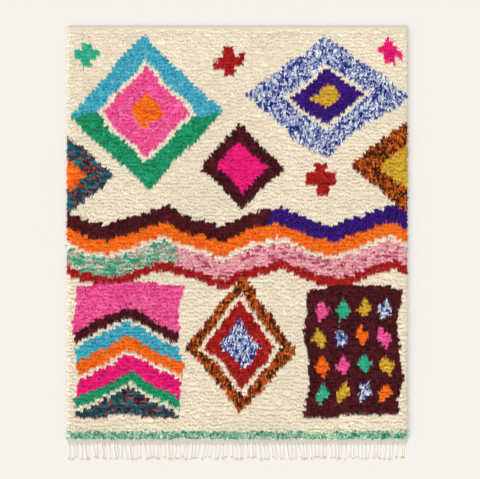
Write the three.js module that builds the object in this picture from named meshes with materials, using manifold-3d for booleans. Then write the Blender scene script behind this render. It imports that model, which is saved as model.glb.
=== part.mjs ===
// A hand-knotted wool shag rug lying flat on the floor, in millimetres, +Z up.
// +Y is the top end with its flat-woven heading, -Y the end with the fringe. The origin is on the floor,
// at the middle of the whole piece, fringe included.
// Two pieces: the rug (ground weave, pile and top heading in one cloth), and the narrow plain-woven
// heading past the last row of pile, with the knotted warp ends fused into it.

import * as THREE from 'three';
import { mergeVertices } from 'three/addons/utils/BufferGeometryUtils.js';
import Module from 'manifold-3d';

// The rug
const RUG_WIDTH = 2460;
const ROW_PITCH = 24;
const ROWS = 124;
const TOP_HEADING_LENGTH = 18;
const TOP_HEADING_HEIGHT = 5;
const CREST_HEIGHT = 23;
const VALLEY_HEIGHT = 15;
const CREST_PLACE = 0.65;
const ROWS_PER_UNDERSIDE_POINT = 10;

// The pile's unevenness
const COLUMNS = 14;
const RIM_COLUMN_WIDTH = 22;
const RIM_DROOP = 0.45;
const LUMP_HEIGHT = 3;
const KNOT_HEIGHT = 2;
const ROW_WANDER = 3;
const SELVEDGE_WANDER = 3;

// Locks of pile that stand out past the rim: every other row's at the sides, and some over the end
const SIDE_LOCK_REACH = 13;
const SIDE_LOCK_LEAN = 5;
const ROWS_PER_SIDE_LOCK = 2;
const END_LOCKS = 40;
const END_LOCK_RADIUS = 4.5;
const END_LOCK_ROOT = 14;
const END_LOCK_REACH = 11;
const END_LOCK_HEIGHT = 8;

// The bottom heading and its fringe
const PIECE_GAP = 0.3;
const STRIP_LENGTH = 20;
const STRIP_HEIGHT = 4;
const STRANDS = 86;
const STRAND_LENGTH = 138;
const STRAND_ROOT = 10;
const STRAND_WIDTH = 8;
const STRAND_HEIGHT = 6;
const KNOT_WIDENING = 1.6;
const LEAN_TOGETHER = 11;
const LEAN_ALONE = 3.2;
const SHORTEST_STRAND = 0.86;

const PILE_LENGTH = ROWS * ROW_PITCH;
const WHOLE_LENGTH = TOP_HEADING_LENGTH + PILE_LENGTH + PIECE_GAP + STRIP_LENGTH + STRAND_LENGTH;
const TOP_END = WHOLE_LENGTH / 2;
const PILE_TOP = TOP_END - TOP_HEADING_LENGTH;
const PILE_END = PILE_TOP - PILE_LENGTH;
const STRIP_TOP = PILE_END - PIECE_GAP;
const STRIP_END = STRIP_TOP - STRIP_LENGTH;

const wool = new THREE.MeshStandardMaterial({ color: 0xefe5c9, roughness: 0.95, metalness: 0 });
const warpYarn = new THREE.MeshStandardMaterial({ color: 0xf1e9d6, roughness: 0.9, metalness: 0 });

const wasm = await Module();
wasm.setup();

// A number from 0 to 1 that looks random but depends only on a and b.
function scatter(a, b = 0) {
  const s = Math.sin(a * 12.9898 + b * 78.233 + 4.1) * 43758.5453;
  return s - Math.floor(s);
}

// A three.js geometry as a solid that can be joined to others.
function solidOf(geometry) {
  geometry.deleteAttribute('normal');
  geometry.deleteAttribute('uv');
  const merged = mergeVertices(geometry, 1e-3);
  return new wasm.Manifold(new wasm.Mesh({
    numProp: 3,
    vertProperties: new Float32Array(merged.attributes.position.array),
    triVerts: new Uint32Array(merged.index.array),
  }));
}

// The named mesh of a solid.
function meshOf(solid, name, material) {
  const { vertProperties, triVerts } = solid.getMesh();
  const geometry = new THREE.BufferGeometry();
  geometry.setAttribute('position', new THREE.BufferAttribute(vertProperties, 3));
  geometry.setIndex(new THREE.BufferAttribute(triVerts, 1));
  geometry.computeVertexNormals();
  const mesh = new THREE.Mesh(geometry, material);
  mesh.name = name;
  return mesh;
}

// Moves every vertex of a geometry to where place(point) puts it.
function reshape(geometry, place) {
  const at = geometry.attributes.position;
  const point = new THREE.Vector3();
  for (let i = 0; i < at.count; i += 1) {
    place(point.fromBufferAttribute(at, i));
    at.setXYZ(i, point.x, point.y, point.z);
  }
  return geometry;
}

// The rug's lengthwise section: a flat underside, the thin heading at the top end, and one rib for each
// row of knots, whose tufts lean towards the fringe like shingles.
function rugSection() {
  const outline = [[TOP_END, 0], [TOP_END, TOP_HEADING_HEIGHT], [PILE_TOP, TOP_HEADING_HEIGHT]];
  for (let row = 0; row < ROWS; row += 1) {
    const y = PILE_TOP - row * ROW_PITCH;
    if (row > 0) outline.push([y, VALLEY_HEIGHT]);
    outline.push([y - CREST_PLACE * ROW_PITCH, CREST_HEIGHT]);
  }
  outline.push([PILE_END, VALLEY_HEIGHT]);
  const spans = Math.floor(ROWS / ROWS_PER_UNDERSIDE_POINT);
  for (let i = 0; i < spans; i += 1) {
    outline.push([PILE_END + (i / spans) * (PILE_TOP - PILE_END), 0]);
  }
  return new THREE.Shape(outline.map(([y, z]) => new THREE.Vector2(y, z)));
}

// Where the columns of the pile's points stand across the width: one narrow column at each rim, and
// even ones between.
function columnPlace(share) {
  const column = Math.round(share * COLUMNS);
  if (column === 0) return -RUG_WIDTH / 2;
  if (column === COLUMNS) return RUG_WIDTH / 2;
  const inner = RUG_WIDTH / 2 - RIM_COLUMN_WIDTH;
  return -inner + (2 * inner * (column - 1)) / (COLUMNS - 2);
}

// How far a point of the rim stands out past the selvedge: a lock at the crest of every other row, and
// the selvedge's own slow wander.
function rimReach(side, y) {
  const selvedge = SELVEDGE_WANDER * (Math.sin(y / 190 + side) - 1);
  const row = (PILE_TOP - y) / ROW_PITCH;
  const atCrest = Math.abs(row - Math.floor(row) - CREST_PLACE) < 0.1;
  const isLock = atCrest && Math.floor(row) % ROWS_PER_SIDE_LOCK === (side > 0 ? 0 : 1);
  const longest = Math.floor(row) % 12 < 2;
  const reach = SIDE_LOCK_REACH * (longest ? 1 : 0.6 + 0.4 * scatter(y, side));
  return isLock ? reach : selvedge;
}

// The rug's slab: the section carried across the width, its top made lumpy by two long waves and a
// scatter from knot to knot, its rows wandering a little, and its rims drooping and drawn out into locks.
function rugSlab() {
  const slab = new THREE.ExtrudeGeometry(rugSection(), { depth: 1, steps: COLUMNS, bevelEnabled: false });
  return reshape(slab, (p) => {
    const [y, z, x] = [p.x, p.y, columnPlace(p.z)];
    const rim = Math.abs(x) > RUG_WIDTH / 2 - 1;
    const inPile = z > TOP_HEADING_HEIGHT;
    const nearEnd = y > PILE_TOP - ROW_PITCH || y < PILE_END + ROW_PITCH / 2;
    const long = Math.sin(x / 210 + y / 340) + Math.sin(x / 97 - y / 150 + 1.3);
    const lump = LUMP_HEIGHT * long / 2 + KNOT_HEIGHT * (2 * scatter(x, y) - 1);
    const wander = ROW_WANDER * Math.sin(x / 260 + 2 * Math.sin(y / 410));
    const reach = rim && inPile ? rimReach(Math.sign(x), y) : 0;
    const lean = reach > 0 ? SIDE_LOCK_LEAN : 0;
    p.x = x + Math.sign(x) * reach;
    p.y = inPile && !nearEnd ? y + wander - lean : y;
    p.z = inPile ? (z + lump) * (rim ? 1 - RIM_DROOP : 1) : z;
  });
}

// Locks over the bottom heading: three-sided tufts from inside the last row, thinning to their tips.
function endLocks() {
  const length = END_LOCK_ROOT + END_LOCK_REACH;
  return Array.from({ length: END_LOCKS }, (_, i) => {
    const cone = new THREE.ConeGeometry(END_LOCK_RADIUS, length, 3);
    const sideways = 0.4 * (scatter(i, 7) - 0.5);
    const direction = new THREE.Vector3(sideways, -1, 0).normalize();
    cone.translate(0, length / 2, 0);
    cone.applyQuaternion(new THREE.Quaternion().setFromUnitVectors(new THREE.Vector3(0, 1, 0), direction));
    const x = RUG_WIDTH * ((i + 0.3 + 0.4 * scatter(i, 9)) / END_LOCKS - 0.5);
    cone.translate(x, PILE_END + END_LOCK_ROOT + 3 * scatter(i, 5), END_LOCK_HEIGHT);
    return solidOf(cone);
  });
}

// One warp end, from inside the heading to its knotted tip. Its underside is level on the floor.
// Its points along the length stand at the root, the middle, the knot and the tip.
function strand(index) {
  const pitch = RUG_WIDTH / STRANDS;
  const rootX = -RUG_WIDTH / 2 + (index + 0.5) * pitch;
  const share = index % 11 === 4 ? 1 : SHORTEST_STRAND + (1 - SHORTEST_STRAND) * scatter(index, 3);
  const lean = LEAN_TOGETHER * Math.sin(index / 7) + LEAN_ALONE * (2 * scatter(index, 1) - 1);
  const [alongs, widths] = [[0, 0.55, 0.92, 1], [1, 1, KNOT_WIDENING, 1]];
  const box = new THREE.BoxGeometry(STRAND_WIDTH, 1, STRAND_HEIGHT, 1, alongs.length - 1, 1);
  return solidOf(reshape(box, (p) => {
    const stop = Math.round((0.5 - p.y) * (alongs.length - 1));
    const along = alongs[stop];
    p.x = rootX + p.x * widths[stop] + lean * along * along;
    p.y = STRIP_END + STRAND_ROOT - along * (STRAND_ROOT + STRAND_LENGTH * share);
    p.z = p.z > 0 ? STRAND_HEIGHT * Math.sqrt(widths[stop]) : 0;
  }));
}

// The narrow plain-woven heading, parted from the rug's edge.
function headingStrip() {
  const strip = new THREE.BoxGeometry(RUG_WIDTH, STRIP_LENGTH, STRIP_HEIGHT);
  strip.translate(0, (STRIP_TOP + STRIP_END) / 2, STRIP_HEIGHT / 2);
  return solidOf(strip);
}

const rug = wasm.Manifold.union([solidOf(rugSlab()), ...endLocks()]);
const fringe = wasm.Manifold.union([headingStrip(), ...Array.from({ length: STRANDS }, (_, i) => strand(i))]);

const group = new THREE.Group();
group.add(meshOf(rug, 'shag_rug', wool));
group.add(meshOf(fringe, 'warp_fringe', warpYarn));

export default group;
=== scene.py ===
import math

import bpy
import numpy as np
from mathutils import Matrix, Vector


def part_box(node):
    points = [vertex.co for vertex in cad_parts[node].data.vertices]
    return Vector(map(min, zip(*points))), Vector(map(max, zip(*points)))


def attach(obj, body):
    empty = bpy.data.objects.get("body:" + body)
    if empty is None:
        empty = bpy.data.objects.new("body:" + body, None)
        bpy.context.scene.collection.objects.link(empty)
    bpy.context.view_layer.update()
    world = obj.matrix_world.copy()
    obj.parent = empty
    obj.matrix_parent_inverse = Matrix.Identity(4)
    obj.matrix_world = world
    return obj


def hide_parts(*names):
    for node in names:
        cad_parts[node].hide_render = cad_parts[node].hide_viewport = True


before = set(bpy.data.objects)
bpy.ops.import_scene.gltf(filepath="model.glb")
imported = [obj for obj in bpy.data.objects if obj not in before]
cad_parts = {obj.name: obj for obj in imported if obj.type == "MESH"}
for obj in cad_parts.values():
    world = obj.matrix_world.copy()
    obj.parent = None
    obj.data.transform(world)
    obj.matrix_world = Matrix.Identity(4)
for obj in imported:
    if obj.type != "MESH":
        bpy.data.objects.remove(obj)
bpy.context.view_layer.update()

# The camera looks straight down on the rug, as the picture is taken, from high enough up for its edges
# to stay upright. One pixel of the picture takes in a fixed length of the floor. Lengths are in metres
# and angles in degrees, here and below.
PICTURE_PIXELS = 480
FLOOR_PER_PIXEL = 0.00725
LENS, SENSOR = 85, 36
VIEW_CENTRE = (0.0208, 0.0333)
FARTHEST_SEEN = 200

camera = bpy.data.objects.new("camera", bpy.data.cameras.new("camera"))
camera.data.lens, camera.data.sensor_width = LENS, SENSOR
camera.data.clip_end = FARTHEST_SEEN
camera.location = (*VIEW_CENTRE, FLOOR_PER_PIXEL * PICTURE_PIXELS * LENS / SENSOR)
bpy.context.collection.objects.link(camera)
bpy.context.scene.camera = camera

# The floor is plain and pale. A soft key light comes in low from the lower left, and the room itself
# lights the rest, so that the rug throws a faint shadow all round and a wider one up and to the right.
FLOOR_SIDE = 160
FLOOR_COLOUR = (0.613, 0.590, 0.545)
FLOOR_ROUGHNESS, FLOOR_GLOSS = 0.9, 0.1
ROOM_COLOUR = (0.985, 0.99, 1.0)
ROOM_STRENGTH = 1.265
KEY_STRENGTH = 2.9
KEY_HEIGHT = 17
KEY_HEADING = 215
KEY_SOFTNESS = 25

half_side = FLOOR_SIDE / 2
floor_corners = [(half_side * x, half_side * y, 0) for x, y in [(-1, -1), (1, -1), (1, 1), (-1, 1)]]
floor_mesh = bpy.data.meshes.new("floor")
floor_mesh.from_pydata(floor_corners, [], [(0, 1, 2, 3)])
floor = bpy.data.objects.new("floor", floor_mesh)
bpy.context.collection.objects.link(floor)
floor_paint = bpy.data.materials.new("floor_paint")
floor_paint.use_nodes = True
paint_shader = floor_paint.node_tree.nodes["Principled BSDF"]
paint_shader.inputs["Base Color"].default_value = (*FLOOR_COLOUR, 1)
paint_shader.inputs["Roughness"].default_value = FLOOR_ROUGHNESS
paint_shader.inputs["Specular IOR Level"].default_value = FLOOR_GLOSS
floor_mesh.materials.append(floor_paint)

key = bpy.data.objects.new("key_light", bpy.data.lights.new("key_light", "SUN"))
key.data.energy = KEY_STRENGTH
key.data.angle = math.radians(KEY_SOFTNESS)
key.rotation_euler = (0, math.radians(90 - KEY_HEIGHT), math.radians(KEY_HEADING))
bpy.context.collection.objects.link(key)
room = bpy.data.worlds.new("room")
room.use_nodes = True
room_light = room.node_tree.nodes["Background"]
room_light.inputs["Color"].default_value = (*ROOM_COLOUR, 1)
room_light.inputs["Strength"].default_value = ROOM_STRENGTH
bpy.context.scene.world = room
bpy.context.scene.view_settings.view_transform = "Standard"

# The ground is woven of wool warps and wefts, with one knot of pile yarn round each pair of warps in
# every row, so that its back shows the motifs in small bars. Its height here takes in the lower part of
# the pile, packed close on it. The top end has no knots, but a plain-woven heading, turned under.
PIECE_GAP = 0.0003
TOP_HEADING = 0.018
ROW_PITCH = 0.024
KNOT_PITCH = 0.010
WEFTS_IN_ROW = 4
GROUND_HEIGHT = 0.0035
GROUND_RELIEF = 0.0007
PACKED_HEIGHT = 0.0115
PACKED_AT_TOP = 0.006
RIM_WIDTH = 0.030
RIM_SHARE = 0.6
END_LINES = 4
HEADING_LINES = 7
HEM_EDGE = 0.0080
HEM_HEIGHT = 0.0110
ROW_STRAY, KNOT_STRAY = 0.005, 0.003
SHADED_WARP_WOOL = "bfb6a6"
HEM_WOOL = "cabfaa"
PAINTED_SHADE_BETWEEN_TUFTS = 0.84
GROUND_MOTTLE = 0.1
WEAVE_BUMP_SHARE = 0.4
WOOL_BUMP = 0.0008

rug_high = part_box("shag_rug")[1]
fringe_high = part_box("warp_fringe")[1]
half_width = fringe_high[0]
pile_end = fringe_high[1] + PIECE_GAP
pile_top = rug_high[1] - TOP_HEADING
pile_length = pile_top - pile_end
rows = round(pile_length / ROW_PITCH)
knots = round(2 * half_width / KNOT_PITCH)

# Each lot of yarn is spun of a few shades, here listed with the share of each. The first
# number is how many knots in a row come out alike.
YARN_LOTS = {
    "cream": (2, [("f3e7cf", 6), ("f0e2c8", 3), ("f6ebd7", 3), ("ecddc2", 1)]),
    "pink": (4, [("f8589e", 5), ("e04086", 2), ("fc7cb0", 2)]),
    "pale_pink": (5, [("f2a4b0", 4), ("f6c6c2", 3), ("c25270", 3)]),
    "magenta": (4, [("f82084", 5), ("de1270", 3)]),
    "orange": (5, [("fe7a18", 5), ("ee620e", 3), ("ff922e", 1)]),
    "rust": (2, [("ce5816", 4), ("70240c", 3), ("1e220c", 3), ("f28a30", 2), ("3c0e0a", 2)]),
    "turquoise": (3, [("4cb6ca", 5), ("349ab8", 2), ("70cad8", 1)]),
    "emerald": (4, [("229f6e", 5), ("168a5a", 3), ("32b884", 1)]),
    "jade": (4, [("30b68e", 4), ("5cc4a0", 1)]),
    "mint_mix": (6, [("40a484", 4), ("84be9e", 2), ("dadac0", 2), ("d4948e", 1)]),
    "blue_mix": (1, [("14248a", 6), ("98a8cc", 3), ("f6f8f8", 4), ("485c9c", 1)]),
    "purple": (3, [("3e1680", 5), ("2a0a5c", 3), ("502696", 1)]),
    "burgundy": (4, [("56161e", 5), ("340a10", 3), ("6c2028", 1)]),
    "red": (4, [("b81e1e", 5), ("921010", 3), ("cc382c", 1)]),
    "mustard": (4, [("deb436", 5), ("c69222", 3), ("eccc54", 1)]),
    "teal_mix": (8, [("125462", 4), ("4a1224", 3), ("c04a2a", 1), ("227e88", 2)]),
    "end_band": (1, [("249068", 3), ("86c49e", 3), ("d6e2cc", 4), ("1e744e", 1)]),
}
LOT_NUMBER = {name: number for number, name in enumerate(YARN_LOTS)}
END_BAND_ROWS = 3


def lozenge(x, v, centre_x, centre_v, half_x, half_v):
    """0 at a lozenge's centre and 1 on its edge: the sum of the two distances, each over its half side."""
    return np.abs(x - centre_x) / half_x + np.abs(v - centre_v) / half_v


def zigzag(x, period):
    """A wave of straight slopes, from 0 to 1 and back again over one period."""
    return np.abs((x / period) % 1.0 * 2 - 1)


def motif_chart(x, v):
    """The number of the yarn lot knotted at x across the rug and v down from the top of the pile. Each
    motif is a measure of x and v with limits to it, and a later motif lies over an earlier one."""
    lot = np.full(x.shape, LOT_NUMBER["cream"])

    def knot(where, name):
        lot[where] = LOT_NUMBER[name]

    def knot_rings(measure, rings):
        for outer, name in rings:
            knot(measure < outer, name)

    def knot_bands(down, where, bands):
        for upper, lower, name in bands:
            knot(where & (down > upper) & (down < lower), name)

    left_lozenge = lozenge(x, v, -0.66, 0.60, 0.56, 0.56)
    knot(left_lozenge < 1, "turquoise")
    knot((left_lozenge < 1) & (v > 0.60), "emerald")
    knot_rings(left_lozenge, [(0.66, "cream"), (0.58, "pink"), (0.24, "orange")])
    right_lozenge = lozenge(x, v, 0.64, 0.48, 0.60, 0.44)
    knot_rings(right_lozenge, [(1.0, "blue_mix"), (0.54, "cream"), (0.46, "purple"), (0.20, "mustard")])
    knot_rings(lozenge(x, v, 0.03, 1.00, 0.31, 0.31), [(1.0, "burgundy"), (0.6, "magenta")])
    knot_rings(lozenge(x, v, 1.23, 1.00, 0.42, 0.34), [(1.0, "rust"), (0.5, "mustard")])
    knot_rings(lozenge(x, v, -1.23, 1.04, 0.34, 0.30), [(1.0, "teal_mix"), (0.4, "orange")])

    crosses = [(-0.06, 0.24, 0.11, "red"), (-1.08, 0.17, 0.09, "jade")]
    crosses += [(0.60, 1.07, 0.11, "red"), (1.12, 0.16, 0.09, "magenta")]
    for centre_x, centre_v, arm, name in crosses:
        across, along = np.abs(x - centre_x), np.abs(v - centre_v)
        half_bar = 0.38 * arm
        knot((np.minimum(across, along) < half_bar) & (np.maximum(across, along) < arm), name)

    zigzag_top, depth, shift, period = 1.27, 0.15, 0.1, 0.82
    down = v - zigzag_top - depth * zigzag(x + shift, period)
    knot_bands(down, x < 0.25, [(0, 0.12, "burgundy")])
    knot_bands(down, x > 0.25, [(0, 0.12, "purple")])
    knot_bands(down, True, [(0.12, 0.22, "orange"), (0.39, 0.46, "red")])
    knot_bands(down, x < -0.45, [(0.25, 0.39, "mint_mix")])
    knot_bands(down, x > -0.45, [(0.25, 0.39, "pale_pink")])

    stack_top, slope = 1.86, 0.45
    from_middle = np.abs(x + 0.79)
    stack = (from_middle < 0.38) & (v > 1.84) & (v < 2.80)
    chevrons = [(-1.0, 0.15, "pink"), (0.15, 0.23, "burgundy"), (0.26, 0.37, "turquoise")]
    chevrons += [(0.37, 0.47, "orange"), (0.50, 0.63, "magenta"), (0.63, 0.71, "emerald")]
    chevrons += [(0.74, 1.0, "teal_mix")]
    knot_bands(v - stack_top - slope * from_middle, stack, chevrons)

    tall_lozenge = lozenge(x, v, 0.03, 2.29, 0.40, 0.50)
    knot_rings(tall_lozenge, [(1.0, "rust"), (0.74, "cream"), (0.64, "red"), (0.36, "blue_mix")])

    block = (np.abs(x - 0.84) < 0.34) & (v > 1.86) & (v < 2.80)
    knot(block, "burgundy")
    cells, cell_width, cell_length = 4, 0.155, 0.20
    cell_x, cell_v = (x - 0.53) / cell_width, (v - 1.93) / cell_length
    in_cells = block & (np.minimum(cell_x, cell_v) > 0) & (np.maximum(cell_x, cell_v) < cells)
    spot = lozenge(cell_x % 1, cell_v % 1, 0.5, 0.5, 0.37, 0.37)
    spots = ["pink", "jade", "mustard", "blue_mix", "orange"]
    turn = (np.floor(cell_x) + 2 * np.floor(cell_v)) % len(spots)
    for number, name in enumerate(spots):
        knot(in_cells & (spot < 1) & (turn == number), name)
    return lot


def linear(shade):
    """The light a shade written as red, green and blue in hex gives back, with the screen's curve undone."""
    seen = np.array([int(shade[i:i + 2], 16) for i in (0, 2, 4)]) / 255
    return np.where(seen < 0.04045, seen / 12.92, ((seen + 0.055) / 1.055) ** 2.4)


def sway(size, across=0.0, along=0.0, start=0.0):
    """A slow wave over the rug, one number a knot: size times the sine of across times x, plus along
    times v, plus start."""
    return size * np.sin(across * knot_x + along * knot_v + start)


def alike_along_row(spread, neighbours):
    """One random number a knot, of the given spread, that near neighbours in a row share: the sum of that
    many knots' own numbers over the square root of how many they are."""
    own = chance.normal(0, spread, (rows, knots + neighbours - 1))
    return sum(own[:, i:i + knots] for i in range(neighbours)) / math.sqrt(neighbours)


def spun(mix, alike):
    """The colour of each knot's yarn from a lot: shades in the shares given, alike along a row. The knots
    are put in the order of a random number each, and the shades dealt out along that order."""
    order = np.argsort(np.argsort(alike_along_row(1, alike), axis=None)) / knot_x.size
    shades = np.array([linear(shade) for shade, _ in mix])
    shares = np.cumsum([share for _, share in mix]) / sum(share for _, share in mix)
    return shades[np.searchsorted(shares, order, side="right")].reshape(rows, knots, 3)


chance = np.random.default_rng(12)
row, column = np.mgrid[0:rows, 0:knots]
knot_x = -half_width + (column + 0.5) * KNOT_PITCH
knot_v = (row + 0.5) * ROW_PITCH
drawn_x = knot_x + sway(0.016, along=9.1, start=0.7) + sway(0.008, across=3, along=23)
drawn_x += chance.normal(0, ROW_STRAY, (rows, 1)) + chance.normal(0, KNOT_STRAY, knot_x.shape)
drawn_v = knot_v + sway(0.014, across=7.3, start=1.1) + sway(0.007, across=19, along=4)
lot_of_knot = motif_chart(drawn_x, drawn_v)
lot_of_knot[-END_BAND_ROWS:] = LOT_NUMBER["end_band"]
knot_colour, tip_colour = np.zeros((2, rows, knots, 3))
for name, (alike, mix) in YARN_LOTS.items():
    of_lot = lot_of_knot == LOT_NUMBER[name]
    knot_colour[of_lot] = spun(mix, alike)[of_lot]
    tip_colour[of_lot] = spun(mix, alike)[of_lot]


def lay_mesh(name, points, quads, triangles, colours, places):
    """A smooth mesh object of points, four- and three-cornered faces, one colour for each point or for
    each face corner, and one place in the unit square for each face corner, in the order of the faces."""
    mesh = bpy.data.meshes.new(name)
    corners = np.concatenate([np.ravel(quads), np.ravel(triangles)]).astype(np.int32)
    sizes = np.concatenate([np.full(len(quads), 4), np.full(len(triangles), 3)])
    mesh.vertices.add(len(points))
    mesh.loops.add(len(corners))
    mesh.polygons.add(len(sizes))
    mesh.vertices.foreach_set("co", np.ravel(points).astype(np.float32))
    mesh.polygons.foreach_set("loop_start", np.concatenate([[0], np.cumsum(sizes)[:-1]]).astype(np.int32))
    mesh.polygons.foreach_set("vertices", corners)
    mesh.polygons.foreach_set("use_smooth", np.ones(len(sizes), bool))
    mesh.update(calc_edges=True)
    of_corners = colours[corners] if len(colours) == len(points) else colours
    rgba = np.concatenate([of_corners, np.ones((len(corners), 1))], axis=1).astype(np.float32)
    mesh.color_attributes.new("yarn", "FLOAT_COLOR", "CORNER").data.foreach_set("color", np.ravel(rgba))
    mesh.uv_layers.new(name="OFBake").data.foreach_set("uv", np.ravel(places).astype(np.float32))
    made = bpy.data.objects.new(name, mesh)
    bpy.context.collection.objects.link(made)
    return made


# In the unit square, the faces of a slab's top have their places in the lower half, those of its
# underside in the upper half, and those of its wall side by side in a strip over both.
PLACES_LEFT, PLACES_WIDTH, PLACES_HEIGHT = 0.03, 0.94, 0.46
TOP_FROM, UNDERSIDE_FROM = 0.02, 0.50
WALL_FROM, WALL_TO, WALL_STEP_FILLED = 0.985, 0.995, 0.9


def cloth_slab(name, xs, ys, top, colours):
    """A closed slab of cloth on a grid of xs and ys: its top at the heights given, its underside level on
    the floor, and a wall of one quad a step round its edge."""
    across, along = len(xs), len(ys)
    x, y = np.meshgrid(xs, ys)
    upper = np.stack([x, y, top], axis=-1).reshape(-1, 3)
    lower = upper * [1, 1, 0]
    number = np.arange(across * along).reshape(along, across)
    a, b, c, d = number[:-1, :-1], number[:-1, 1:], number[1:, 1:], number[1:, :-1]
    face_up = np.stack([a, b, c, d], axis=-1).reshape(-1, 4)
    face_down = face_up[:, ::-1] + across * along
    edge = np.concatenate([number[0, :-1], number[:-1, -1], number[-1, :0:-1], number[:0:-1, 0]])
    after = np.roll(edge, -1)
    wall = np.stack([edge, edge + across * along, after + across * along, after], axis=-1)
    u, w = np.meshgrid(np.linspace(0, 1, across), np.linspace(0, 1, along))
    flat = np.stack([u, w], axis=-1).reshape(-1, 2) * [PLACES_WIDTH, PLACES_HEIGHT]
    top_places = (flat + [PLACES_LEFT, TOP_FROM])[face_up]
    underside_places = (flat + [PLACES_LEFT, UNDERSIDE_FROM])[face_down - across * along]
    left = np.arange(len(edge)) / len(edge) * PLACES_WIDTH + PLACES_LEFT
    right = left + WALL_STEP_FILLED * PLACES_WIDTH / len(edge)
    low, high = np.full_like(left, WALL_FROM), np.full_like(left, WALL_TO)
    wall_places = [(left, low), (left, high), (right, high), (right, low)]
    wall_places = np.stack([np.stack(corner, axis=-1) for corner in wall_places], axis=1)
    places = np.concatenate([top_places, underside_places, wall_places])
    quads = np.concatenate([face_up, face_down, wall])
    both = np.concatenate([colours.reshape(-1, 3)] * 2)
    return lay_mesh(name, np.concatenate([upper, lower]), quads, np.zeros((0, 3), int), both, places)


def over_and_under(lines, places):
    """A plain weave of so many lines with so many places each: 1 where the thread on top goes one way,
    and -1 where it goes the other, by turns."""
    line, place_in_line = np.mgrid[0:lines, 0:places]
    return 1 - 2.0 * ((line + place_in_line) % 2)


def packed_height(y):
    """How high the pile is packed on the ground at y: PACKED_HEIGHT over most of the rug, and evenly less
    over the last RIM_WIDTH of the pile up to its top, where it is PACKED_AT_TOP."""
    return np.interp(y, [pile_top - RIM_WIDTH, pile_top], [PACKED_HEIGHT, PACKED_AT_TOP])


def rounded(x, y):
    """The share of its full height that the rug has at x and y: all of it over most of the rug, and a
    quarter of an ellipse down to RIM_SHARE of it at the two sides and the fringed end."""
    from_rim = np.clip(np.minimum(half_width - np.abs(x), y - pile_end) / RIM_WIDTH, 0, 1)
    return RIM_SHARE + (1 - RIM_SHARE) * np.sqrt(from_rim * (2 - from_rim))


class Thread:
    """A socket in a material. Arithmetic on it adds Math nodes, and node() adds any other."""

    def __init__(self, tree, socket=None):
        self.tree = tree
        self.socket = socket

    def node(self, kind, settings, sockets, out=0):
        """Adds a node: its type, its settings, the values or Threads of its sockets, and which output."""
        made = self.tree.nodes.new(kind)
        for setting, value in settings.items():
            setattr(made, setting, value)
        for socket, value in sockets.items():
            if isinstance(value, Thread):
                self.tree.links.new(value.socket, made.inputs[socket])
            else:
                made.inputs[socket].default_value = value
        return Thread(self.tree, made.outputs[out] if made.outputs else None)

    def maths(self, operation, *values):
        """A Math node of one operation on these values."""
        return self.node("ShaderNodeMath", {"operation": operation}, dict(enumerate(values)))

    def __add__(self, other):
        return self.maths("ADD", self, other)

    def __mul__(self, other):
        return self.maths("MULTIPLY", self, other)

    __radd__ = __add__
    __rmul__ = __mul__

    def wave(self, length):
        """A sine wave of this distance, from -1 to 1, with one crest in each length."""
        return self.maths("SINE", self * (2 * math.pi / length))

    def mottle(self, depth):
        """A shade from 1 - depth to 1 + depth, as this pattern goes from 0 to 1."""
        return 1 - depth + 2 * depth * self

    def axis(self, letter):
        """One of the three numbers of this place."""
        return self.node("ShaderNodeSeparateXYZ", {}, {0: self}, letter)

    def times(self, amount):
        """This colour made lighter or darker by a number or another Thread."""
        return self.node("ShaderNodeVectorMath", {"operation": "SCALE"}, {0: self, "Scale": amount})

    def noise(self, scale, detail, stretch=(1, 1, 1)):
        """Noise over this place, finer with scale, and drawn out along the axes whose stretch is small."""
        place = self.node("ShaderNodeMapping", {}, {"Vector": self, "Scale": stretch})
        return self.node("ShaderNodeTexNoise", {}, {"Vector": place, "Scale": scale, "Detail": detail})


def new_wool(name):
    """An empty material, with the Threads of a place on the piece and of its yarn's colour."""
    wool = bpy.data.materials.new(name)
    wool.use_nodes = True
    wool.node_tree.nodes.clear()
    start = Thread(wool.node_tree)
    place = start.node("ShaderNodeTexCoord", {}, {}, "Object")
    return wool, place, start.node("ShaderNodeAttribute", {"attribute_name": "yarn"}, {}, "Color")


def finish_wool(colour, height, bump_distance):
    """Joins a colour and a bump height to matt wool, which has hardly any gloss or sheen."""
    bump = {"Strength": 1.0, "Distance": bump_distance, "Height": height}
    bumped = colour.node("ShaderNodeBump", {}, bump)
    matt = {"Base Color": colour, "Normal": bumped, "Roughness": 0.95, "Specular IOR Level": 0.04}
    matt |= {"Sheen Weight": 0.03, "Sheen Roughness": 0.6}
    wool = colour.node("ShaderNodeBsdfPrincipled", {}, matt)
    colour.node("ShaderNodeOutputMaterial", {}, {"Surface": wool})


ground_wool, place, yarn = new_wool("ground_wool")
weave = place.axis("X").wave(KNOT_PITCH) * place.axis("Y").wave(ROW_PITCH / WEFTS_IN_ROW)
fibre = place.noise(scale=700.0, detail=2.0)
finish_wool(yarn.times(fibre.mottle(GROUND_MOTTLE)), weave * WEAVE_BUMP_SHARE + fibre, WOOL_BUMP)

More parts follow.
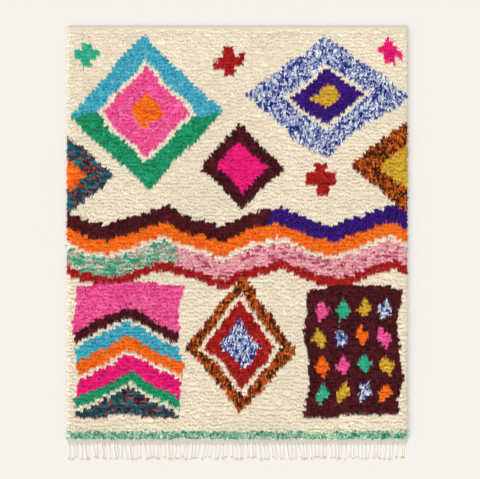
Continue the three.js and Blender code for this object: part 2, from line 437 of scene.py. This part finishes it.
ground_xs = np.concatenate([[-half_width], knot_x[0], [half_width]])
heading_ys = rug_high[1] - np.arange(HEADING_LINES) * TOP_HEADING / (HEADING_LINES - 1)
knot_ys = pile_top - knot_v[:, 0]
end_ys = pile_end + 0.5 * ROW_PITCH * np.linspace(1, 0, END_LINES + 1)[1:] ** 2
ground_ys = np.concatenate([heading_ys, knot_ys, end_ys])[::-1]
ground_top = GROUND_HEIGHT + packed_height(ground_ys)[:, None]
ground_top = ground_top + GROUND_RELIEF * over_and_under(len(ground_ys), len(ground_xs))
in_hem = np.linspace(1, 0, HEADING_LINES)[:, None]
ground_top[-HEADING_LINES:] -= GROUND_HEIGHT + PACKED_AT_TOP
ground_top[-HEADING_LINES:] += HEM_EDGE + (HEM_HEIGHT - HEM_EDGE) * np.sqrt(1 - (1 - in_hem) ** 2)
ground_top *= rounded(*np.meshgrid(ground_xs, ground_ys))
ground_colour = np.pad(knot_colour[::-1], ((END_LINES, HEADING_LINES), (1, 1), (0, 0)), mode="edge")
# The ground's colour under the pile is darkened: painted shade, that falls between the tufts. The same
# darker colours go on its underside.
ground_colour *= PAINTED_SHADE_BETWEEN_TUFTS
# The ground's end lines take the heading's wool, greyer than the fringe's: partly its own tone, partly
# painted shadow of the pile.
ground_colour[:END_LINES] = linear(SHADED_WARP_WOOL)
ground_colour[-HEADING_LINES:] = linear(HEM_WOOL)
ground = cloth_slab("ground_weave", ground_xs, ground_ys, ground_top, ground_colour)
ground.data.materials.append(ground_wool)
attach(ground, "root")
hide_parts("shag_rug")

# The pile is thick soft wool yarn, knotted in rows by hand and cut. The two ends of each knot have opened
# into two plies each, which rise out of the ground and lie over towards the fringe, past the roots of the
# next row, and neighbours lean together in handfuls. It is made in bands of rows, from the top end down.
BANDS = 8
PLIES = 4
PLY_RADIUS, RADIUS_SPREAD = 0.0031, 0.08
PLY_STRAY_ACROSS, PLY_STRAY_ALONG = 0.0012, 0.0040
PLY_ROLL = 0.5
TUFT_HEIGHT, HEIGHT_SPREAD = 0.0042, 0.05
SMOOTHER_AT_TOP = 0.55
SMOOTHER_LENGTH = 1.3
TUFT_REACH, REACH_SPREAD = 0.0340, 0.10
END_BAND_REACH = 0.8
LAST_ROW_OVERHANG = 0.008
LAST_ROW_RAGGED = 0.008
LEAN_APART, MORE_IN_END_BAND = 7, 28
TUFT_DROOP = 2.2
OUT_POWER, UP_POWER = 1.4, 0.7
ROOT_PLACE = 0.12
ROOT_SINK = 0.001
RIM_TURN = 25
RIM_REACH_CUT, RIM_HEIGHT_CUT = 0.4, 0.2
BELLY = 0.7
ROOT_SHADE = 0.8
DYED_ROOT_SHADE = 0.38
# How much darker the pile's colour is painted, as painted shade, towards the top end, on its first two rows
# and at the rims.
TOP_END_PAINTED_SHADE = 0.96
FIRST_ROWS_PAINTED_SHADE = [0.93, 0.98]
RIM_PAINTED_SHADE = 0.88
SHADE_SPREAD = 0.03
FIBRE_MOTTLE, HANDFUL_MOTTLE = 0.14, 0.08

# A ply has five points: its root, three round its belly, and its tip. Of its six faces the lower three
# go from the root's shade to the yarn's, and the upper three are all of the tip's shade.
PLY_POINTS = 5
PLY_FACES = np.array([[0, 2, 1], [0, 3, 2], [0, 1, 3], [4, 1, 2], [4, 2, 3], [4, 3, 1]])
PLY_SHADES = np.array([[0, 1, 1], [0, 1, 1], [0, 1, 1], [2, 2, 2], [2, 2, 2], [2, 2, 2]])


def plies_of_yarn(root, heading, reach, height, radius, roll):
    """Points of the plies of yarn ends, [ply, point, xyz]: the root, three round the belly, and the tip.
    The centreline goes out along its heading by reach times t to the OUT_POWER, and up by height times
    the sine of TUFT_DROOP times t to the UP_POWER, so that it rises at once and then lies over. The belly
    is a triangle round it at t of BELLY, of this radius and turned by roll."""
    t = np.array([0, BELLY, 1.0])
    out = reach[:, None] * t ** OUT_POWER
    up = height[:, None] * np.sin(TUFT_DROOP * t ** UP_POWER)
    way = np.stack([np.cos(heading), np.sin(heading), np.zeros_like(heading)], axis=-1)[:, None, :]
    centre = root[:, None, :] + out[..., None] * way
    centre[..., 2] += up
    tangent = centre[:, 2:] - centre[:, :1]
    tangent /= np.linalg.norm(tangent, axis=-1, keepdims=True)
    sideways = np.stack([-way[..., 1], way[..., 0], way[..., 2]], axis=-1)
    outward = np.cross(tangent, sideways)
    angle = math.pi / 2 + 2 * math.pi * np.arange(3) / 3 + roll[:, None]
    round_it = np.cos(angle)[..., None] * sideways + np.sin(angle)[..., None] * outward
    belly = centre[:, 1:2] + radius[:, None, None] * round_it
    return np.concatenate([centre[:, :1], belly, centre[:, 2:]], axis=1)


def cell_places(count):
    """Places of the face corners of plies, each ply in its own cell of a square: its belly as a line
    across the cell, with its root below the line and its tip above."""
    cells = math.ceil(math.sqrt(count))
    corner = np.stack([np.arange(count) % cells, np.arange(count) // cells], axis=-1)[:, None, None, :]
    margin, step = 0.15, 0.23
    line = [(margin + step * i, 0.5) for i in range(4)]
    roots = [[(0.5, margin), right, left] for left, right in zip(line, line[1:])]
    tips = [[(0.5, 1 - margin), left, right] for left, right in zip(line, line[1:])]
    return ((np.array(roots + tips)[None] + corner) / cells).reshape(-1, 2)


def lay_plies(name, points, colours):
    """A mesh object of plies, from their points, [ply, point, xyz], and a colour for each of the points or
    for each face corner."""
    faces = (PLY_FACES + PLY_POINTS * np.arange(len(points))[:, None, None]).reshape(-1, 3)
    no_quads = np.zeros((0, 4), int)
    places = cell_places(len(points))
    return lay_mesh(name, points.reshape(-1, 3), no_quads, faces, colours.reshape(-1, 3), places)


pile_wool, place, yarn = new_wool("pile_wool")
fibre = place.noise(scale=900.0, detail=2.0, stretch=(1.0, 0.15, 0.5))
handful = place.noise(scale=14.0, detail=2.0, stretch=(0.6, 1.0, 1.0))
finish_wool(yarn.times(fibre.mottle(FIBRE_MOTTLE) * handful.mottle(HANDFUL_MOTTLE)), fibre, WOOL_BUMP)

# Rows wander and tufts lean together. At the rims the tufts turn outwards and are shorter, the pile is
# flatter and smoother towards the top end, and the end band is cut shorter and spreads more.
row_line = alike_along_row(spread=0.0025, neighbours=23) + alike_along_row(spread=0.0046, neighbours=4)
lean = alike_along_row(spread=7, neighbours=5) + sway(9, across=5.1, along=2.3)
reach_share = 1 + alike_along_row(spread=0.14, neighbours=3)
height_share = 1 + alike_along_row(spread=0.06, neighbours=13) + sway(0.03, across=6.3, along=3)
near_rim = np.clip(1 - (half_width - np.abs(knot_x)) / RIM_WIDTH, 0, 1)
lean += np.sign(knot_x) * RIM_TURN * near_rim
reach_share *= 1 - RIM_REACH_CUT * near_rim
height_share *= 1 - RIM_HEIGHT_CUT * near_rim
height_share *= np.interp(knot_v, [RIM_WIDTH, 2 * RIM_WIDTH, SMOOTHER_LENGTH], [1, SMOOTHER_AT_TOP, 1])
in_end_band = lot_of_knot == LOT_NUMBER["end_band"]
reach_share *= np.where(in_end_band, END_BAND_REACH, 1)
lean_apart = LEAN_APART + MORE_IN_END_BAND * in_end_band

# Less light reaches the roots, least of all between dyed tufts, and the roots are painted darker as shade.
# The rims and the top end of the pile, most of all its first two rows, take the light more fully and are
# painted a little darker: painted shade.
painted_knot_shade = 1 - (1 - RIM_PAINTED_SHADE) * near_rim
painted_knot_shade *= np.interp(knot_v, [0, SMOOTHER_LENGTH], [TOP_END_PAINTED_SHADE, 1])
painted_knot_shade[:len(FIRST_ROWS_PAINTED_SHADE)] *= np.array(FIRST_ROWS_PAINTED_SHADE)[:, None]
undyed = np.isin(lot_of_knot, [LOT_NUMBER["cream"], LOT_NUMBER["end_band"]])
root_colour = knot_colour * np.where(undyed, ROOT_SHADE, DYED_ROOT_SHADE)[..., None]
along_ply = np.stack([root_colour, knot_colour, tip_colour], axis=2) * painted_knot_shade[..., None, None]

beside = (np.arange(PLIES) + 0.5) * KNOT_PITCH / PLIES - KNOT_PITCH / 2
row_y = pile_top - knot_v + (0.5 - ROOT_PLACE) * ROW_PITCH + row_line
for band in range(BANDS):
    in_band = slice(rows * band // BANDS, rows * (band + 1) // BANDS)
    plies = knot_x[in_band].shape + (PLIES,)
    ply_x = knot_x[in_band][..., None] + beside + chance.normal(0, PLY_STRAY_ACROSS, plies)
    ply_y = row_y[in_band][..., None] + chance.normal(0, PLY_STRAY_ALONG, plies)
    root_height = GROUND_HEIGHT + packed_height(ply_y) - ROOT_SINK
    root = np.stack([ply_x, ply_y, root_height], axis=-1).reshape(-1, 3)
    lean_alone = chance.normal(0, 1, plies) * lean_apart[in_band][..., None]
    heading = np.radians(-90 + lean[in_band][..., None] + lean_alone).ravel()
    reach = TUFT_REACH * reach_share[in_band][..., None] * chance.normal(1, REACH_SPREAD, plies)
    past_last_row = chance.uniform(-LAST_ROW_RAGGED, LAST_ROW_OVERHANG, plies)
    reach = np.minimum(reach, ply_y - pile_end + past_last_row).ravel()
    height = TUFT_HEIGHT * height_share[in_band][..., None] * chance.normal(1, HEIGHT_SPREAD, plies)
    radius = (PLY_RADIUS * chance.normal(1, RADIUS_SPREAD, plies)).ravel()
    roll = chance.uniform(-PLY_ROLL, PLY_ROLL, len(root))
    points = plies_of_yarn(root, heading, reach, height.ravel(), radius, roll)
    points[..., 2] *= rounded(points[..., 0], points[..., 1])
    colour = np.repeat(along_ply[in_band].reshape(-1, 3, 3), PLIES, axis=0)
    colour = colour * chance.normal(1, SHADE_SPREAD, (len(root), 1, 1))
    pile = lay_plies(f"pile_band_{band + 1}", points, colour[:, PLY_SHADES])
    pile.data.materials.append(pile_wool)
    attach(pile, "root")
    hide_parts("shag_rug")

# The bottom heading is a narrow plain-woven strip of undyed wool past the last row of knots. The warps
# come out of its lower edge, which a twined cord of weft holds.
HEADING_LENGTH = 0.020
HEADING_HEIGHT = 0.0036
HEADING_RELIEF = 0.0005
WEFTS_IN_HEADING = 10
CORD_LINES = 2
CORD_RISE = 0.0012
WARP_MOTTLE = 0.15
WARP_BUMP = 0.0006

warp_wool, place, yarn = new_wool("warp_wool")
fibre = place.noise(scale=800.0, detail=2.0, stretch=(1.0, 0.4, 1.0))
finish_wool(yarn.times(fibre.mottle(WARP_MOTTLE)), fibre, WARP_BUMP)

strip_top = pile_end - PIECE_GAP
strip_end = strip_top - HEADING_LENGTH
strip_ys = np.linspace(strip_end, strip_top, WEFTS_IN_HEADING + 1)
strip_heights = HEADING_HEIGHT + HEADING_RELIEF * over_and_under(len(strip_ys), len(ground_xs))
strip_heights[:CORD_LINES] += CORD_RISE
# The heading's wool is greyer than the fringe's: partly its own tone and partly painted shadow of the pile
# over it.
strip_colour = linear(SHADED_WARP_WOOL) * chance.normal(1, SHADE_SPREAD, strip_heights.shape)[..., None]
bottom_heading = cloth_slab("bottom_heading", ground_xs, strip_ys, strip_heights, strip_colour)
bottom_heading.data.materials.append(warp_wool)
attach(bottom_heading, "root")
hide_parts("warp_fringe")

# The fringe is the warps themselves, which come out of the heading and are twisted, a few at a time, into
# thin cords of two plies. Each cord is knotted near its end, and many of the knots have gone tan.
STRANDS = 86
STRAND_LENGTH = 0.138
STRAND_ROOT = 0.003
STRAND_RADIUS = 0.0022
THINNEST_SHARE, THICKER_BY = 0.7, 0.6
STRAND_STEPS = 48
STRAND_SIDES = 6
TWIST_LENGTH = 0.014
PLY_GROOVE = 0.30
ROOT_SPREAD = 0.006
LEAN_TOGETHER, LEAN_WAVE, LEAN_ALONE = 0.011, 7, 0.012
WAVER, WAVER_ALONG, WAVER_BETWEEN = 0.0012, 9, 2.7
SHORTEST_STRAND, LONGEST_EVERY, FIRST_LONGEST = 0.86, 11, 4
LOOSE_LENGTH = 0.024
KNOT_PLACE, KNOT_LENGTH, KNOT_SWELL = 0.965, 0.025, 0.5
FRINGE_WOOL = "ece4d6"
KNOT_WOOL = "e2ccb2"
TAN_TOGETHER, TAN_WAVE, TAN_ALONE = 0.5, 3.1, 0.6


def scatter(a, b):
    """A number from 0 to 1 that looks random but depends only on a and b: the fraction of a large sine.
    Here a is the number of a cord, and each of its measures that is scattered has a b of its own."""
    large = np.sin(a * 12.9898 + b * 78.233 + 4.1) * 43758.5453
    return large - np.floor(large)


def blend(one, other, share):
    """One colour with a share of it, from 0 to 1, taken over by the other."""
    return one * (1 - share) + other * share


def cord_middle(strand, t):
    """The middle line of a cord, x and y, for t from 0 at the root to 1 at its end: it leans over by a
    distance that grows with t squared, and wavers by a sine of t that grows with t."""
    root_x = -half_width + (strand + 0.5) * 2 * half_width / STRANDS
    root_x = root_x + ROOT_SPREAD * (2 * scatter(strand, 7) - 1)
    shortened = SHORTEST_STRAND + (1 - SHORTEST_STRAND) * scatter(strand, 3)
    share = np.where(strand % LONGEST_EVERY == FIRST_LONGEST, 1, shortened)
    lean = LEAN_TOGETHER * np.sin(strand / LEAN_WAVE) + LEAN_ALONE * (2 * scatter(strand, 1) - 1)
    x = root_x + lean * t ** 2 + WAVER * np.sin(WAVER_ALONG * t + strand * WAVER_BETWEEN) * t
    return x, strip_end + STRAND_ROOT - t * (STRAND_ROOT + STRAND_LENGTH * share - LOOSE_LENGTH)


def cords(strand, t, turn):
    """Points of twisted cords, [strand, step, side, xyz], for turn round the cord. The section is two
    lobes, turned once in every twist length, and swells by a bell curve at the knot."""
    x, y = cord_middle(strand, t)
    swell = 1 + KNOT_SWELL * np.exp(-((t - KNOT_PLACE) / KNOT_LENGTH) ** 2)
    plain = STRAND_RADIUS * (THINNEST_SHARE + THICKER_BY * scatter(strand, 2)) * swell
    twist = 2 * math.pi * (strip_end - y) / TWIST_LENGTH + strand
    radius = plain * (1 - PLY_GROOVE * np.sin(turn - twist) ** 2)
    z = plain + radius * np.sin(turn)
    return np.stack([x + radius * np.cos(turn), y + 0 * turn, z], axis=-1)


strand = np.arange(STRANDS)[:, None, None]
t = np.linspace(0, 1, STRAND_STEPS + 1)[None, :, None]
turn = 2 * math.pi * np.arange(STRAND_SIDES)[None, None, :] / STRAND_SIDES
points = cords(strand, t, turn)
number = np.arange(points[..., 0].size).reshape(points.shape[:3])
beside = np.roll(number, -1, axis=2)
tube = np.stack([number[:, :-1], beside[:, :-1], beside[:, 1:], number[:, 1:]], axis=-1).reshape(-1, 4)
fan = np.arange(1, STRAND_SIDES - 1)
tip_fan = np.stack([0 * fan, fan, fan + 1], axis=-1)
root_fan = tip_fan[:, ::-1]
caps = np.concatenate([number[:, 0][:, root_fan], number[:, -1][:, tip_fan]]).reshape(-1, 3)

# The knots go tan by a slow wave along the fringe, each a little more or less than its neighbours.
tan_share = 0.5 + TAN_TOGETHER * np.sin(strand / TAN_WAVE) + TAN_ALONE * (scatter(strand, 5) - 0.5)
tan_share = np.clip(tan_share, 0, 1)
in_knot = np.exp(-((t - KNOT_PLACE) / KNOT_LENGTH) ** 4)[..., None]
knot_wool = blend(linear(FRINGE_WOOL), linear(KNOT_WOOL), tan_share[..., None])
cord_colour = blend(linear(FRINGE_WOOL), knot_wool, in_knot)
cord_colour = cord_colour * chance.normal(1, SHADE_SPREAD, (STRANDS, 1, 1, 1))
cord_colour = np.broadcast_to(cord_colour, points.shape)

# In the unit square each cord has a column of its own, with its sides side by side in the middle of it,
# the cap of its root below them and the cap of its tip above.
COLUMN_LEFT, COLUMN_FILLED = 0.1, 0.8
SIDES_FROM, SIDES_HEIGHT = 0.02, 0.94
ROOT_CAP_AT, TIP_CAP_AT = 0.01, 0.98
CAP_WIDTH, CAP_HEIGHT = 0.3, 0.005

column_width = 1 / STRANDS
side_width = COLUMN_FILLED * column_width / STRAND_SIDES
left = (strand + COLUMN_LEFT) * column_width + np.arange(STRAND_SIDES)[None, None, :] * side_width
low, high = SIDES_FROM + SIDES_HEIGHT * t[:, :-1], SIDES_FROM + SIDES_HEIGHT * t[:, 1:]
corners = [(left, low), (left + side_width, low), (left + side_width, high), (left, high)]
tube_places = [np.stack(np.broadcast_arrays(u, w), axis=-1) for u, w in corners]
tube_places = np.stack(tube_places, axis=3).reshape(-1, 2)
round_cap = np.stack([np.cos(turn[0, 0]), np.sin(turn[0, 0])], axis=-1)
round_cap = round_cap * [CAP_WIDTH * column_width, CAP_HEIGHT]
middles = (np.arange(STRANDS) + 0.5) * column_width
root_middles = np.stack([middles, np.full(STRANDS, ROOT_CAP_AT)], axis=-1)[:, None, None]
tip_middles = np.stack([middles, np.full(STRANDS, TIP_CAP_AT)], axis=-1)[:, None, None]
root_places = (round_cap[root_fan] + root_middles).reshape(-1, 2)
tip_places = (round_cap[tip_fan] + tip_middles).reshape(-1, 2)
places = np.concatenate([tube_places, root_places, tip_places])

fringe = lay_mesh("warp_cords", points.reshape(-1, 3), tube, caps, cord_colour.reshape(-1, 3), places)
fringe.data.materials.append(warp_wool)
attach(fringe, "root")
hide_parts("warp_fringe")

# At the heading the warps of each cord still lie side by side. They come out of its lower edge and draw
# together into the cord.
GATHERED_WARPS = 5
GATHERED_FROM, GATHERED_AT = 0.004, 0.36
GATHERED_HEIGHT, GATHERED_RISE = 0.002, 0.0008
GATHERED_RADIUS, GATHERED_RADIUS_SPREAD = 0.0014, 0.1
GATHERED_STRAY = 0.0012
SHADED_GATHERED_WOOL = "eae2d2"
GATHERED_SHADE_SPREAD = 0.05
OFF_THE_FLOOR = 0.0002

warps = STRANDS * GATHERED_WARPS
warp_ends = np.full((STRANDS, GATHERED_WARPS), GATHERED_AT)
cord_place = np.stack(cord_middle(np.arange(STRANDS)[:, None], warp_ends), axis=-1).reshape(-1, 2)
warp_x = -half_width + (np.arange(warps) + 0.5) * 2 * half_width / warps
warp_x += chance.normal(0, GATHERED_STRAY, warps)
root = np.stack(np.broadcast_arrays(warp_x, strip_end + GATHERED_FROM, GATHERED_HEIGHT), axis=-1)
way = cord_place - root[:, :2]
heading = np.arctan2(way[:, 1], way[:, 0])
length = np.hypot(way[:, 0], way[:, 1])
rise = np.full(warps, GATHERED_RISE)
radius = GATHERED_RADIUS * chance.normal(1, GATHERED_RADIUS_SPREAD, warps)
points = plies_of_yarn(root, heading, length, rise, radius, np.zeros(warps))
points[..., 2] = np.maximum(points[..., 2], OFF_THE_FLOOR)
# The warps are painted a little darker where they leave the heading, painted shadow of the pile, and take
# the fringe's own wool at the cord.
along = np.array([linear(SHADED_GATHERED_WOOL)] * (PLY_POINTS - 1) + [linear(FRINGE_WOOL)])
colour = along[None] * chance.normal(1, GATHERED_SHADE_SPREAD, (warps, 1, 1))
gathered_warps = lay_plies("gathered_warps", points, colour)
gathered_warps.data.materials.append(warp_wool)
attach(gathered_warps, "root")
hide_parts("warp_fringe")

# Past its knot each cord is loose, and its plies spread apart and come down to the floor. They are undyed
# wool, or tan where the knot is.
LOOSE_PLIES = 5
LOOSE_SHORTEST, LOOSE_LONGEST = 0.7, 1.3
LOOSE_RADIUS, LOOSE_RADIUS_SPREAD = 0.0012, 0.1
LOOSE_RISE = 0.0008
LOOSE_SINK = [0, 0.5, 0.5, 0.5, 0.9]
LOOSE_SPREAD, LOOSE_STRAY = 45, 12
LOOSE_WOOL = "eee9de"
TAN_WOOL = "ecc09a"
TAN_STRAY = 0.15

loose = (STRANDS, LOOSE_PLIES)
loose_plies = STRANDS * LOOSE_PLIES
knot_places = cord_middle(np.arange(STRANDS)[:, None], np.ones(loose))
root = np.stack([*knot_places, np.full(loose, STRAND_RADIUS)], axis=-1).reshape(-1, 3)
spread = LOOSE_SPREAD * np.linspace(-1, 1, LOOSE_PLIES) + chance.normal(0, LOOSE_STRAY, loose)
heading = np.radians(-90 + spread).ravel()
length = (LOOSE_LENGTH * chance.uniform(LOOSE_SHORTEST, LOOSE_LONGEST, loose)).ravel()
rise = np.full(loose_plies, LOOSE_RISE)
radius = LOOSE_RADIUS * chance.normal(1, LOOSE_RADIUS_SPREAD, loose_plies)
points = plies_of_yarn(root, heading, length, rise, radius, np.zeros(loose_plies))
points[..., 2] = np.maximum(points[..., 2] - STRAND_RADIUS * np.array(LOOSE_SINK), OFF_THE_FLOOR)
loose_tan = np.clip(tan_share.reshape(-1, 1) + chance.normal(0, TAN_STRAY, loose), 0, 1)
colour = blend(linear(LOOSE_WOOL), linear(TAN_WOOL), loose_tan.reshape(-1, 1, 1))
loose_ends = lay_plies("loose_ends", points, np.broadcast_to(colour, points.shape))
loose_ends.data.materials.append(warp_wool)
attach(loose_ends, "root")
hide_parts("warp_fringe")
